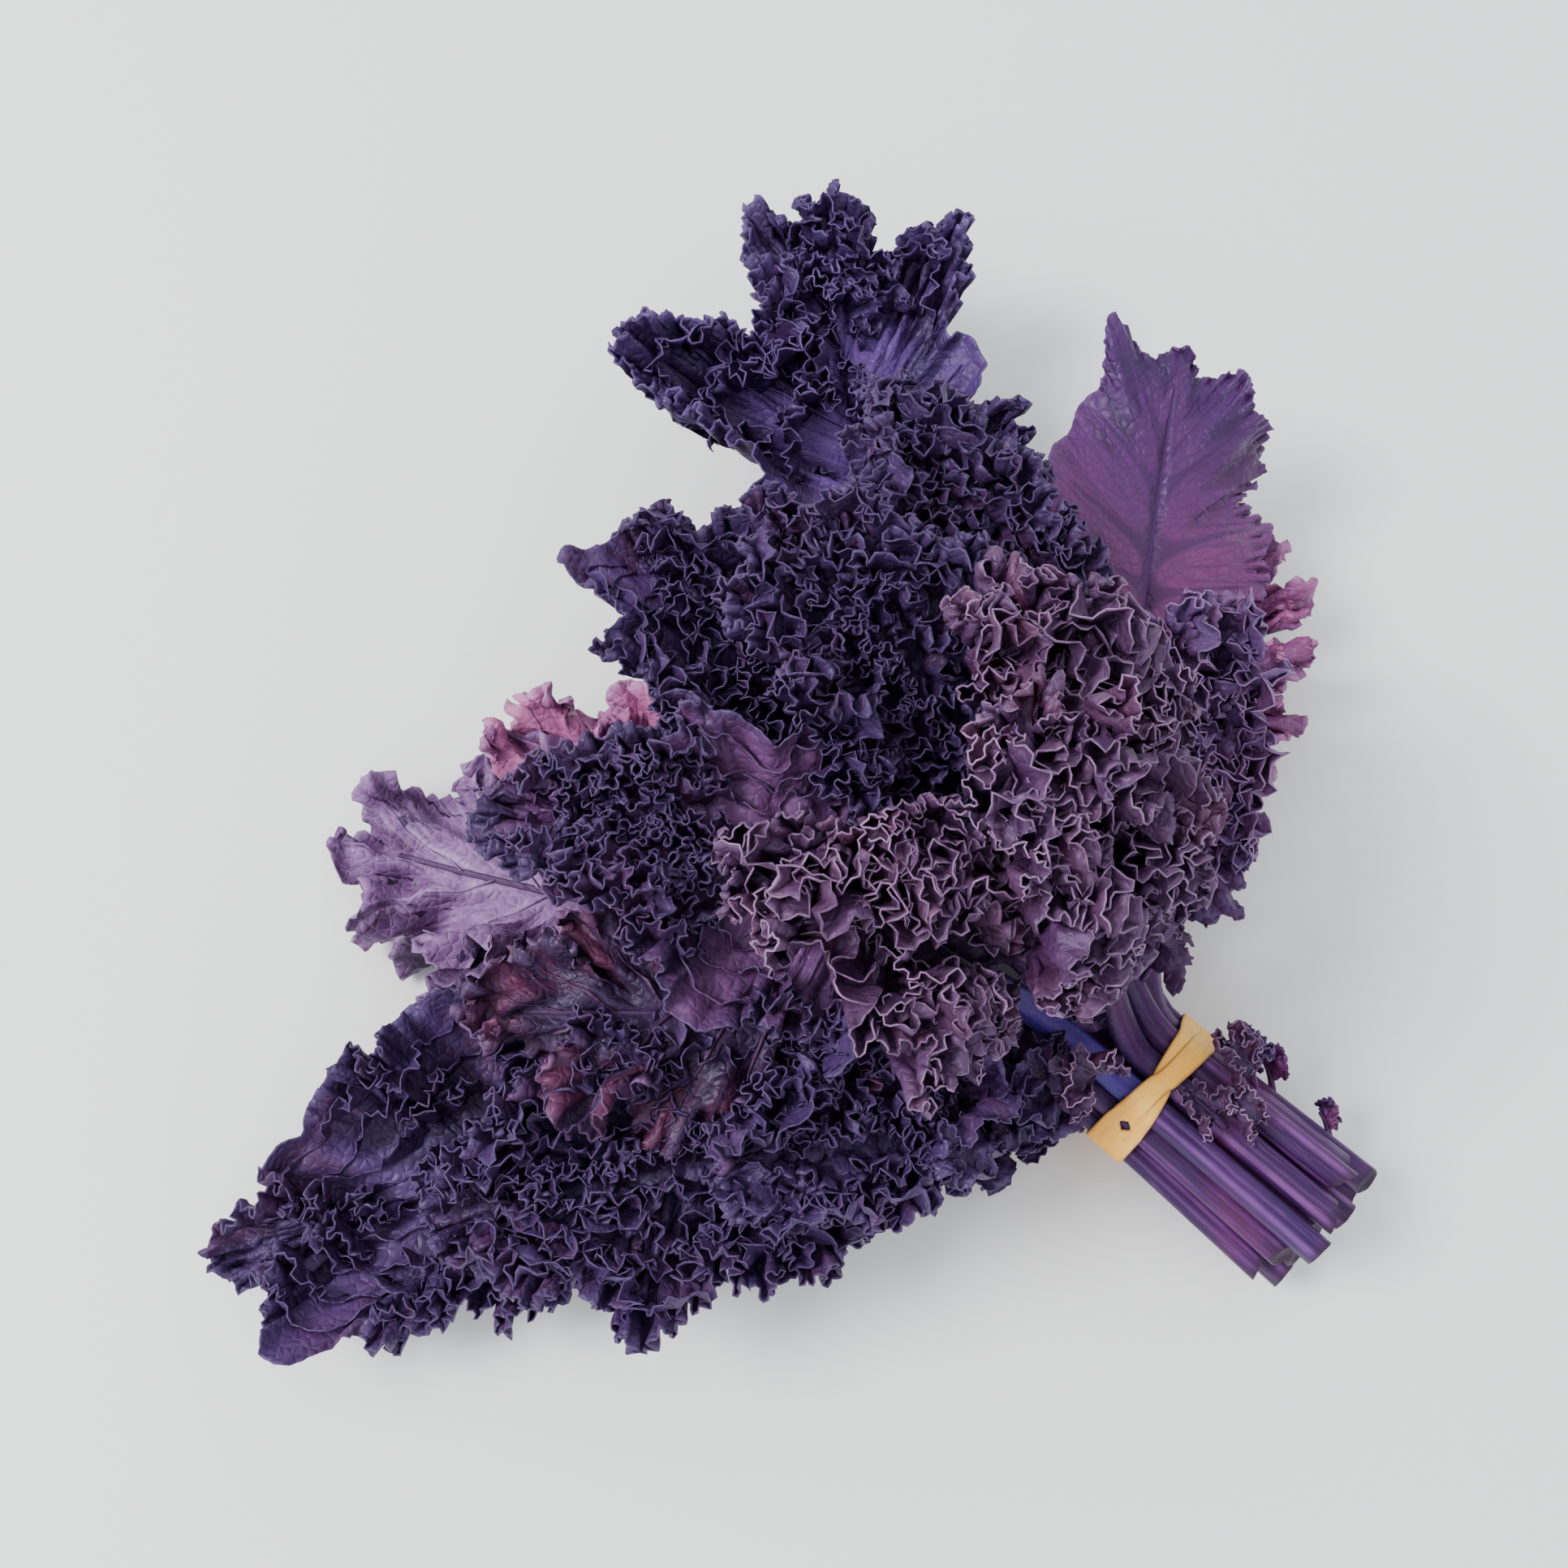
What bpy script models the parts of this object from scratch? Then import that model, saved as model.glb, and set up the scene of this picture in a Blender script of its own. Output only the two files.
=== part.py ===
"""A bunch of curly purple kale: nineteen long-stemmed leaves held by one flat rubber band.

Metres, +Z up. The stems lie along Y with their cut ends at -Y, and the leaves fan out towards +Y.
The bunch lies on the floor, z = 0, and the origin is the middle of its footprint.
"""

import math

import bmesh
import bpy
import numpy as np
from mathutils import Matrix, Vector

MM = 0.001

# The tied bundle: stems packed in a hexagon of five rows, seen along Y.
STEM_RADIUS = 4.3 * MM
STEM_PITCH = 9.2 * MM
ROW_PITCH = STEM_PITCH * math.sqrt(3) / 2
LONGEST_ROW = 5
LOWEST_ROW = -2
STRAIGHT = 9 * MM

# The cut ends: their mean length beyond the band, how much it varies, and how far they spread.
TAIL_LENGTH = 58 * MM
TAIL_UNEVENNESS = 5 * MM
TAIL_TURN = 2.4
TAIL_SPREAD = 0.09

# The rubber band round the bundle.
BAND_WIDTH = 13 * MM
BAND_THICKNESS = 1.1 * MM
BAND_GAP = 0.35 * MM
BAND_CORNER_STEPS = 4
BUNDLE_RADIUS = -LOWEST_ROW * ROW_PITCH + STEM_RADIUS
AXIS_HEIGHT = BUNDLE_RADIUS + BAND_GAP + BAND_THICKNESS

# The free midrib: the shares of its span over which it leaves the bundle, turns out and arrives.
LEAVING_SHARE = 0.12
TURNING_SHARE = 0.3
MIDRIB_POINTS = 160

# The blades. A blade's half width follows sin(pi * t ** FORWARD) ** FULLNESS from base to tip.
BLADE_THICKNESS = 1.8 * MM
FORWARD = 1.3
FULLNESS = 0.7
VEIN_SWEEP = 0.35
WAVE_LENGTH = 42 * MM
WAVE_HEIGHT = 7 * MM
WAVE_LAG = 1.3
WAVE_TURN = 1.9
RIB_TIP_RADIUS = 0.8 * MM
RIB_TAPER = 0.6
STEM_TO_BLADE = 0.14
TIP_CUT = 0.98

# How finely each leaf is meshed.
RING_POINTS = 10
TAIL_STATIONS = 4
STEM_STATIONS = 9
BLADE_STATIONS = 22

# One row for each leaf. Its stem sits in the given row and column of the bundle. heading is the
# plan direction of its tip from the band, from +Y towards +X. reach is the tip's plan distance and
# top its height, in millimetres. rise and droop are the slopes at which the stem leaves the bundle
# and the midrib ends, and bend is the midrib's last turn in plan. blade and half are the blade's
# length and half width in millimetres. wing lifts the blade's halves and curl bends them.
# All turns are in degrees.
LEAF_COLUMNS = "row column heading reach top rise droop bend blade half wing curl"
LEAF_TABLE = {
    "leaf_01": (-2, 0, -52, 272, 11, 3, -4, -6, 180, 42, 4, -10),
    "leaf_02": (-2, 1, -24, 252, 11, 3, -4, 0, 165, 46, 4, -10),
    "leaf_03": (-2, 2, 60, 203, 11, 3, -4, 6, 128, 36, 4, -10),
    "leaf_04": (-1, 0, -58, 146, 20, 5, -14, -10, 96, 31, 4, -16),
    "leaf_05": (-1, 1, -13, 240, 32, 8, -6, 0, 158, 42, 6, -14),
    "leaf_06": (-1, 2, 28, 300, 52, 8, 12, 4, 175, 46, 6, -10),
    "leaf_07": (-1, 3, 64, 132, 22, 6, -8, 8, 86, 29, 4, -14),
    "leaf_08": (0, 0, -53, 212, 36, 15, -10, -6, 142, 36, 8, -18),
    "leaf_09": (0, 1, -38, 200, 62, 22, -8, -2, 134, 40, 8, -18),
    "leaf_10": (0, 2, 3, 224, 66, 18, -4, 0, 145, 44, 8, -18),
    "leaf_11": (0, 3, 26, 210, 86, 23, -4, 2, 132, 40, 8, -18),
    "leaf_12": (0, 4, 52, 230, 76, 24, 28, 4, 138, 36, 8, -18),
    "leaf_13": (1, 0, -55, 138, 66, 28, -10, -8, 86, 33, 10, -20),
    "leaf_14": (1, 1, -21, 188, 90, 31, -6, -4, 120, 40, 10, -20),
    "leaf_15": (1, 2, 9, 182, 107, 33, -2, 0, 115, 40, 10, -20),
    "leaf_16": (1, 3, 54, 134, 84, 32, -4, 6, 94, 38, 10, -20),
    "leaf_17": (2, 0, -27, 120, 134, 47, 4, -6, 94, 37, 14, -16),
    "leaf_18": (2, 1, 6, 84, 152, 68, 30, 0, 90, 35, 14, -16),
    "leaf_19": (2, 2, 19, 128, 138, 49, 8, 4, 92, 37, 14, -16),
}


def smoothstep(x):
    x = min(max(x, 0.0), 1.0)
    return x * x * (3 - 2 * x)


def unit(vector):
    return vector / np.linalg.norm(vector)


def slope_direction(heading, slope):
    """The unit vector with this plan heading from +Y and this slope above the floor, in degrees."""
    heading, slope = math.radians(heading), math.radians(slope)
    flat = math.cos(slope)
    return np.array([math.sin(heading) * flat, math.cos(heading) * flat, math.sin(slope)])


def leaf_facts(row):
    """A row of the table by column name, with its lengths in metres."""
    leaf = dict(zip(LEAF_COLUMNS.split(), row))
    for name in ("reach", "top", "blade", "half"):
        leaf[name] *= MM
    for name in ("wing", "curl"):
        leaf[name] = math.radians(leaf[name])
    return leaf


def bundle_slot(row, column):
    """Where a stem of this row and column crosses the band's middle, as (x, z)."""
    last_column = LONGEST_ROW - 1 - abs(row)
    return (column - last_column / 2) * STEM_PITCH, AXIS_HEIGHT + row * ROW_PITCH


def bezier(points, count):
    """A Bezier curve through its end points, as count points."""
    points = np.array(points)
    degree = len(points) - 1
    t = np.linspace(0, 1, count)[:, None]
    weights = [math.comb(degree, k) * t**k * (1 - t) ** (degree - k) for k in range(degree + 1)]
    return sum(weight * point for weight, point in zip(weights, points))


def free_midrib(leaf):
    """The curve from the tied bundle to the leaf's tip: along +Y first, then out to its place."""
    x, z = bundle_slot(leaf["row"], leaf["column"])
    start = np.array([x, STRAIGHT, z])
    tip = slope_direction(leaf["heading"], 0) * leaf["reach"]
    tip[2] = leaf["top"]
    span = np.linalg.norm(tip - start)
    onward = start + slope_direction(0, leaf["rise"] / 2) * LEAVING_SHARE * span
    outward = onward + slope_direction(leaf["heading"], leaf["rise"]) * TURNING_SHARE * span
    last_way = slope_direction(leaf["heading"] + leaf["bend"], leaf["droop"])
    arrival = tip - last_way * TURNING_SHARE * span
    return bezier([start, onward, outward, arrival, tip], MIDRIB_POINTS)


def along(points, distances):
    """The points at these distances along a polyline."""
    steps = np.linalg.norm(np.diff(points, axis=0), axis=1)
    reached = np.concatenate([[0], np.cumsum(steps)])
    return np.stack([np.interp(distances, reached, points[:, i]) for i in range(3)], axis=1)


def tail_points(leaf, index):
    """The stem beyond the band, which spreads a little from its neighbours, from its cut end in."""
    x, z = bundle_slot(leaf["row"], leaf["column"])
    length = TAIL_LENGTH + TAIL_UNEVENNESS * math.sin(TAIL_TURN * index)
    points = []
    for share in np.linspace(1, 0, TAIL_STATIONS):
        spread = 1 + TAIL_SPREAD * share
        y = -STRAIGHT - share * (length - STRAIGHT)
        points.append([x * spread, y, AXIS_HEIGHT + (z - AXIS_HEIGHT) * spread])
    return np.array(points)


def frames(points):
    """Unit tangents, and normals carried along the line without twist from +Z."""
    tangents = np.gradient(points, axis=0)
    tangents /= np.linalg.norm(tangents, axis=1)[:, None]
    normals = []
    normal = np.array([0.0, 0.0, 1.0])
    for tangent in tangents:
        normal = unit(normal - normal.dot(tangent) * tangent)
        normals.append(normal)
    return tangents, np.array(normals)


def blade_offset(leaf, t, v, phase):
    """Where the blade lies at v across it, from -1 to 1: (sideways, along, up) from its midrib."""
    width = leaf["half"] * math.sin(math.pi * t**FORWARD) ** FULLNESS
    wing, curl = leaf["wing"], leaf["curl"]
    reached = wing + curl * abs(v)
    sideways = width * (math.sin(reached) - math.sin(wing)) / curl
    up = width * (math.cos(wing) - math.cos(reached)) / curl
    turns = t * leaf["blade"] / WAVE_LENGTH
    wave = math.sin(2 * math.pi * turns + phase + WAVE_LAG * np.sign(v))
    up += WAVE_HEIGHT * abs(v) ** 1.5 * wave * math.sqrt(math.sin(math.pi * t))
    return sideways * np.sign(v), VEIN_SWEEP * width * abs(v), up


def ring(centre, tangent, normal, leaf, t, phase):
    """One cross-section, as RING_POINTS points: the round stem for t at or under 0, then the blade."""
    side = np.cross(tangent, normal)
    blade_share = smoothstep(t / STEM_TO_BLADE)
    radius = STEM_RADIUS + (RIB_TIP_RADIUS - STEM_RADIUS) * t**RIB_TAPER
    half_thickness = BLADE_THICKNESS / 2
    widest = math.cos(math.pi / RING_POINTS)
    points = []
    for k in range(RING_POINTS):
        angle = 2 * math.pi * (k + 0.5) / RING_POINTS
        across, above = math.cos(angle), math.sin(angle)
        point = side * across * radius + normal * above * radius
        if blade_share > 0:
            sideways, forward, up = blade_offset(leaf, min(t, TIP_CUT), across / widest, phase)
            is_rib = k == RING_POINTS * 3 // 4
            up += -max(radius, half_thickness) if is_rib else math.copysign(half_thickness, above)
            blade_point = side * sideways + tangent * forward + normal * up
            point = point * (1 - blade_share) + blade_point * blade_share
        points.append(centre + point)
    return points


def lie_on_floor(rings):
    """Brings a blade's whole underside down to the floor, as its frills fill the space there."""
    for points in rings:
        for upper in range(RING_POINTS // 2):
            lower = RING_POINTS - 1 - upper
            points[upper][2] = max(points[upper][2], BLADE_THICKNESS)
            points[lower][2] = 0.0


def leaf_rings(leaf, index):
    """All the cross-sections of a leaf, from its cut end to its tip."""
    curve = free_midrib(leaf)
    length = np.linalg.norm(np.diff(curve, axis=0), axis=1).sum()
    base = length - leaf["blade"]
    stem_at = np.linspace(0, base, STEM_STATIONS, endpoint=False)
    blade_at = base + leaf["blade"] * np.linspace(0, 1, BLADE_STATIONS)
    line = np.concatenate([tail_points(leaf, index), along(curve, stem_at), along(curve, blade_at)])
    tangents, normals = frames(line)
    shares = [0.0] * (TAIL_STATIONS + STEM_STATIONS) + list(np.linspace(0, 1, BLADE_STATIONS))
    phase = WAVE_TURN * index
    places = zip(line, tangents, normals, shares)
    rings = [ring(centre, tangent, normal, leaf, t, phase) for centre, tangent, normal, t in places]
    if leaf["row"] == LOWEST_ROW:
        lie_on_floor(rings[1 - BLADE_STATIONS :])
    return rings


def mesh_object(name, bm, material):
    """A smooth-shaded object from a finished bmesh, with its faces pointing out."""
    bmesh.ops.recalc_face_normals(bm, faces=bm.faces)
    mesh = bpy.data.meshes.new(name)
    bm.to_mesh(mesh)
    bm.free()
    mesh.shade_smooth()
    mesh.materials.append(material)
    made = bpy.data.objects.new(name, mesh)
    bpy.context.scene.collection.objects.link(made)
    return made


def loft(rings, closed_round=False):
    """A bmesh skin over rings of points: capped at both ends, or joined from last to first."""
    bm = bmesh.new()
    rows = [[bm.verts.new(point) for point in points] for points in rings]
    count = len(rows[0])
    pairs = list(zip(rows, rows[1:]))
    if closed_round:
        pairs.append((rows[-1], rows[0]))
    for first, second in pairs:
        for k in range(count):
            after = (k + 1) % count
            bm.faces.new([first[k], first[after], second[after], second[k]])
    if not closed_round:
        bm.faces.new(rows[0])
        bm.faces.new(rows[-1])
    return bm


def band_outline(clearance):
    """The taut line round the bundle at this clearance from its outer stems, as (x, z) points."""
    corner_slots = [bundle_slot(0, 4), bundle_slot(2, 2), bundle_slot(2, 0)]
    corner_slots += [bundle_slot(0, 0), bundle_slot(-2, 0), bundle_slot(-2, 2)]
    reach = STEM_RADIUS + clearance
    outline = []
    for corner, (x, z) in enumerate(corner_slots):
        for step in range(BAND_CORNER_STEPS + 1):
            angle = math.radians(60 * (corner - 0.5 + step / BAND_CORNER_STEPS))
            outline.append((x + reach * math.cos(angle), z + reach * math.sin(angle)))
    return outline


def band_object(material):
    """The rubber band: a flat strip, taut round the bundle's outer stems."""
    inner = band_outline(BAND_GAP)
    outer = band_outline(BAND_GAP + BAND_THICKNESS)
    edge = BAND_WIDTH / 2
    sections = []
    for (xi, zi), (xo, zo) in zip(inner, outer):
        sections.append([(xi, -edge, zi), (xo, -edge, zo), (xo, edge, zo), (xi, edge, zi)])
    return mesh_object("rubber_band", loft(sections, closed_round=True), material)


def plain_material(name, colour, roughness):
    material = bpy.data.materials.new(name)
    material.use_nodes = True
    shader = material.node_tree.nodes["Principled BSDF"]
    shader.inputs["Base Color"].default_value = (*colour, 1)
    shader.inputs["Roughness"].default_value = roughness
    shader.inputs["Metallic"].default_value = 0
    return material


def stand_on_origin(objects):
    """Moves the meshes so that the origin is the middle of their footprint, on the floor."""
    points = np.array([v.co for o in objects for v in o.data.vertices])
    low, high = points.min(axis=0), points.max(axis=0)
    shift = Vector(((low[0] + high[0]) / 2, (low[1] + high[1]) / 2, low[2]))
    for o in objects:
        o.data.transform(Matrix.Translation(-shift))


def main():
    for old in list(bpy.data.objects):
        bpy.data.objects.remove(old)
    band_tan = plain_material("rubber", (0.85, 0.55, 0.22), 0.5)
    objects = [band_object(band_tan)]
    for index, (name, row) in enumerate(LEAF_TABLE.items()):
        purple = plain_material(name + "_purple", (0.075, 0.045, 0.11), 0.55)
        bm = loft(leaf_rings(leaf_facts(row), index))
        objects.append(mesh_object(name, bm, purple))
    stand_on_origin(objects)


main()
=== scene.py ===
import math
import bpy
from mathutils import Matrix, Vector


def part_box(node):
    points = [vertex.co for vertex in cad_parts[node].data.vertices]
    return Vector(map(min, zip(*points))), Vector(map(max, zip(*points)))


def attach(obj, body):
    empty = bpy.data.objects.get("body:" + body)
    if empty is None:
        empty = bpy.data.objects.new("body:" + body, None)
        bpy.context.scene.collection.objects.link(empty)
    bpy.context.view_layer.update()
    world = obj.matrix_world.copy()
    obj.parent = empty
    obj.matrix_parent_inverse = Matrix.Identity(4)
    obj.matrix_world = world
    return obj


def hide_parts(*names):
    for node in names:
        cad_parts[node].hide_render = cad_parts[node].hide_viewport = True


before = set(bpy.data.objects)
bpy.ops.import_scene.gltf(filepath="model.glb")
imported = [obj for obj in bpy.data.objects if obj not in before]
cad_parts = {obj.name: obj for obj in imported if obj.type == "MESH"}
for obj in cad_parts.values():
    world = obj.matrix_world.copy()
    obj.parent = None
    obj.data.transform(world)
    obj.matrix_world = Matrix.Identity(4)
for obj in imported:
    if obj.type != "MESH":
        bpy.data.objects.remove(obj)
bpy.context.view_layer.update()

from types import SimpleNamespace

import bpy
import numpy as np
from mathutils import Vector

MM = 0.001

# The bundle, as the CAD model has it. Its band gives its place.
STEM_RADIUS = 4.3 * MM
STEM_PITCH = 9.2 * MM
ROW_PITCH = STEM_PITCH * math.sqrt(3) / 2
LONGEST_ROW = 5
STRAIGHT = 9 * MM
TAIL_LENGTH = 58 * MM
TAIL_UNEVENNESS = 5 * MM
TAIL_TURN = 2.4
TAIL_SPREAD = 0.09
BAND_LOW, BAND_HIGH = (np.array(corner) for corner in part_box("rubber_band"))
BAND_CENTRE = (BAND_LOW + BAND_HIGH) / 2
AXIS_HEIGHT = BAND_CENTRE[2]
LEAVING_SHARE = 0.12
TURNING_SHARE = 0.3
MIDRIB_POINTS = 160
RIB_TIP_RADIUS = 0.8 * MM
UP = np.array([0.0, 0.0, 1.0])

# For each leaf, by its number, as in the CAD model: the stem's place in the bundle, the midrib's
# course, and the blade's length and half width, in millimetres and degrees.
COURSE_COLUMNS = "row column heading reach top rise droop bend blade half".split()
COURSES = {
    1: (-2, 0, -52, 272, 11, 3, -4, -6, 180, 42),
    2: (-2, 1, -24, 252, 11, 3, -4, 0, 165, 46),
    3: (-2, 2, 60, 203, 11, 3, -4, 6, 128, 36),
    4: (-1, 0, -58, 146, 20, 5, -14, -10, 96, 31),
    5: (-1, 1, -13, 240, 32, 8, -6, 0, 158, 42),
    6: (-1, 2, 28, 300, 52, 8, 12, 4, 175, 46),
    7: (-1, 3, 64, 132, 22, 6, -8, 8, 86, 29),
    8: (0, 0, -53, 212, 36, 15, -10, -6, 142, 36),
    9: (0, 1, -38, 200, 62, 22, -8, -2, 134, 40),
    10: (0, 2, 3, 224, 66, 18, -4, 0, 145, 44),
    11: (0, 3, 26, 210, 86, 23, -4, 2, 132, 40),
    12: (0, 4, 52, 230, 76, 24, 28, 4, 138, 36),
    13: (1, 0, -55, 138, 66, 28, -10, -8, 86, 33),
    14: (1, 1, -21, 188, 90, 31, -6, -4, 120, 40),
    15: (1, 2, 9, 182, 107, 33, -2, 0, 115, 40),
    16: (1, 3, 54, 134, 84, 32, -4, 6, 94, 38),
    17: (2, 0, -27, 120, 134, 47, 4, -6, 94, 37),
    18: (2, 1, 6, 84, 152, 68, 30, 0, 90, 35),
    19: (2, 2, 19, 128, 138, 49, 8, 4, 92, 37),
}

# The blade's shape. long and full scale how far along and how wide its outline is. wing lifts its
# halves, cup bends them up and roll turns it over, in degrees. fold and curl are the wavelengths of
# its large and small frills in millimetres. bare is the share of it without small frills, frill
# scales how far they open, and lobes is how deep it is cut. columns, a multiple of 8, is how finely
# its margin is meshed, and tint names its colours. TIGHT holds what some leaves share from cup to
# lobes, and LOOSE from wing to lobes.
BLADE_COLUMNS = "long full wing cup roll fold curl bare frill lobes columns tint".split()
TIGHT = 45, 0, 10, 4.6, 0.12, 0.95, 0.14
LOOSE = 10, 65, 0, 17, 6.8, 0.15, 1, 0.35
BLADES = {
    1: (0.93, 1.3, 8, 45, 0, 10.5, 4.8, 0.12, 0.95, 0.14, 1040, "navy"),
    2: (0.93, 1.3, 0, -12, 180, 40, 9, 0.6, 0.8, 0.3, 960, "lilac"),
    3: (0.88, 1.2, 30, -20, 0, 14, 6, 0.3, 1, 0.25, 840, "rose"),
    4: (0.88, 1, 8, *TIGHT, 800, "navy"),
    5: (0.86, 0.95, 0, -20, 180, 36, 9, 0.55, 0.9, 0.25, 800, "rose"),
    6: (0.9, 1.2, 0, -50, 180, 11, 4.8, 0.15, 0.9, 0.2, 1440, "iris"),
    7: (0.88, 0.9, 5, 50, 0, 24, 8, 0.4, 1, 0.3, 880, "violet"),
    8: (0.88, 1.35, 8, 45, 0, 10.5, 4.8, 0.12, 0.95, 0.14, 1040, "navy"),
    9: (0.86, 1.05, 0, -8, 180, 40, 9, 0.58, 0.7, 0.3, 960, "mauve"),
    10: (0.88, 1.15, 10, *TIGHT, 1040, "navy"),
    11: (0.88, 1.15, 10, *TIGHT, 1040, "navy"),
    12: (0.87, 1.2, 0, 20, 180, 40, 6, 0.8, 0.3, 0, 800, "violet"),
    13: (0.82, 1, 8, *TIGHT, 800, "navy"),
    14: (0.88, 1.15, 10, 40, 0, 10, 4.6, 0.2, 0.95, 0.14, 1040, "dusk"),
    15: (0.88, 1.15, 10, *TIGHT, 1040, "navy"),
    16: (0.76, 1.15, 10, 40, 0, 12, 5.2, 0.12, 0.9, 0.35, 1120, "slate"),
    17: (0.78, 1.1, *LOOSE, 1600, "plum"),
    18: (0.8, 1.1, *LOOSE, 1600, "plum"),
    19: (0.78, 1.1, *LOOSE, 1600, "plum"),
}

# Where the blade reaches out further than the rest, or less far: where round the leaf, which is 0
# and 2 at the blade's foot and 1 at its tip, by how many millimetres, and how wide.
LONG_LOBES = {
    1: ((0.73, 20, 0.065), (1.45, 12, 0.12), (0.36, -12, 0.13), (0.2, -10, 0.05)),
    4: ((0.35, -12, 0.2),),
    6: ((1.42, 52, 0.06), (0.69, 32, 0.05), (1.7, 16, 0.06), (1.14, 16, 0.07), (0.87, 16, 0.07)),
    7: ((1.5, -18, 0.3),),
    8: ((0.5, 7, 0.2),),
    10: ((0.8, 14, 0.06),),
    12: ((0.66, 7, 0.14), (0.98, -10, 0.13), (1.2, 13, 0.05), (1.72, -8, 0.14)),
    14: ((1.62, 8, 0.1), (0.42, 8, 0.08), (0.88, 15, 0.14)),
    16: ((1.55, -18, 0.3),),
    19: ((0.42, 10, 0.07),),
}

# How much further from the band than in the CAD these blades begin.
LATE_BLADES = {17: 12 * MM, 18: 12 * MM}

# Where the blade lies smooth instead of frilled: where round the leaf, how wide, and how smooth.
SMOOTH_PLACES = {
    1: ((0.73, 0.055, 0.8), (1.27, 0.055, 0.92), (1.5, 0.03, 0.8)),
    6: ((1.57, 0.05, 0.95), (0.56, 0.05, 0.95)),
    10: ((0.84, 0.1, 0.85),),
    12: ((1.62, 0.4, 0.92),),
    14: ((1.49, 0.09, 0.85), (0.44, 0.07, 0.8)),
    17: ((0.6, 0.12, 0.9),),
    18: ((1.5, 0.07, 0.8),),
    19: ((0.42, 0.08, 0.95),),
}

# The crests, which are folds of the blade that stand up from its face and are frilled like its
# margin. For each leaf: where they stand, as shares of the half width, the part of the leaf they
# run along, their height in millimetres and their columns.
CLOSE = 0.05, 0.22, 0.4, 0.58, 0.76
EVEN = 0.08, 0.32, 0.57, 0.8
INNER = 0, 0.25, 0.5, 0.75
SPARSE = 0.26, 0.62
HEAPED = CLOSE, 0.08, 0.985, 10, 264
CRESTS = {
    1: (CLOSE, 0.08, 0.95, 10, 304),
    4: (EVEN, 0.1, 0.95, 10, 200),
    6: (INNER, 0.58, 0.97, 11, 200),
    8: HEAPED,
    10: HEAPED,
    11: HEAPED,
    13: (EVEN, 0.08, 0.95, 10, 200),
    14: HEAPED,
    15: HEAPED,
    16: (EVEN, 0.08, 0.95, 11, 264),
    17: (SPARSE, 0.06, 0.95, 17, 520),
    18: (SPARSE, 0.06, 0.95, 15, 520),
    19: (SPARSE, 0.06, 0.95, 17, 520),
}
# How much further along a leaf's innermost crests begin, on its first side and on its second.
BARE_HEARTS = {6: (0.28, -0.02), 14: (0.55, 0.5)}
CREST_FOOT = 3 * MM
CREST_END = 14 * MM
CREST_SWAY = 0.05
CREST_ROWS = 0, 3, 6, 8, 9, 11

# The blade's grid: rows of points from the midrib to the margin, and how many of the finest
# columns apart each row's points stand.
ROWS = np.array([0, 0.14, 0.28, 0.41, 0.53, 0.64, 0.74, 0.83, 0.9, 0.95, 0.985, 1])
STRIDES = np.array([8] * 3 + [4] * 3 + [2] * 3 + [1] * 3)
OUTLINE_POINTS = 4001
MIDRIB_GAP = 0.4 * MM
PUCKER_HEIGHT = 1.8 * MM
PUCKER_LENGTHS = 6, 15
LOBE_SPACING = 26 * MM
SKIN_THICKNESS = 0.45 * MM
FLOOR_GAP = 0.7 * MM
FLOOR_SOFTNESS = 3 * MM

# The frills: the limits of their uneven strength, the wavelength above which they lean in and how
# far, the one of small frills from which a leaf has finer ones still, and the margin's teeth.
STRENGTHS = 0.72, 1.18
WIDE_FRILL = 14 * MM
LEAN = 0.3
FINEST_CURL = 6 * MM
TOOTH_SPACING = 4 * MM
TOOTH_HEIGHT = 1.1 * MM

# The meander that each order of frill follows, tabulated by how far it opens and by phase.
OPENINGS = np.linspace(0, 2.1, 43)
MEANDER_STEPS = 256


def smoothstep(x):
    x = np.clip(x, 0, 1)
    return x * x * (3 - 2 * x)


def bell(x, width):
    return np.exp(-((x / width) ** 2))


def unit(vectors):
    return vectors / np.maximum(np.linalg.norm(vectors, axis=-1, keepdims=True), 1e-12)


def slope_direction(heading, slope):
    """The unit vector with this plan heading from +Y and this slope above the floor, in degrees."""
    heading, slope = math.radians(heading), math.radians(slope)
    flat = math.cos(slope)
    return np.array([math.sin(heading) * flat, math.cos(heading) * flat, math.sin(slope)])


def running_sum(steps):
    """The sums of the steps so far, from none of them to all, along the last axis."""
    return np.concatenate([np.zeros_like(steps[..., :1]), np.cumsum(steps, axis=-1)], axis=-1)


def arc_lengths(points):
    return running_sum(np.linalg.norm(np.diff(points, axis=0), axis=1))


def interpolated(places, known, values):
    """Rows of values between those at the known places."""
    return np.stack([np.interp(places, known, column) for column in values.T], axis=-1)


def leaf_facts(number):
    """What the tables say of a leaf, with its lengths in metres."""
    columns = dict(zip(COURSE_COLUMNS + BLADE_COLUMNS, COURSES[number] + BLADES[number]))
    for column in ("reach", "top", "blade", "half", "fold", "curl"):
        columns[column] *= MM
    return SimpleNamespace(
        number=number, **columns,
        long_lobes=LONG_LOBES.get(number, ()), smooth_places=SMOOTH_PLACES.get(number, ()),
        late=LATE_BLADES.get(number, 0), crests=CRESTS.get(number),
        bare_heart=BARE_HEARTS.get(number, (0, 0)), leaflets=LEAFLETS.get(number, ()),
    )


def bundle_slot(row, column):
    """Where a stem of this row and column crosses the band's middle, as (x, z)."""
    last_column = LONGEST_ROW - 1 - abs(row)
    return (column - last_column / 2) * STEM_PITCH, AXIS_HEIGHT + row * ROW_PITCH


def bezier(points, count):
    points = np.array(points)
    degree = len(points) - 1
    t = np.linspace(0, 1, count)[:, None]
    weights = [math.comb(degree, k) * t**k * (1 - t) ** (degree - k) for k in range(degree + 1)]
    return sum(weight * point for weight, point in zip(weights, points))


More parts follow.
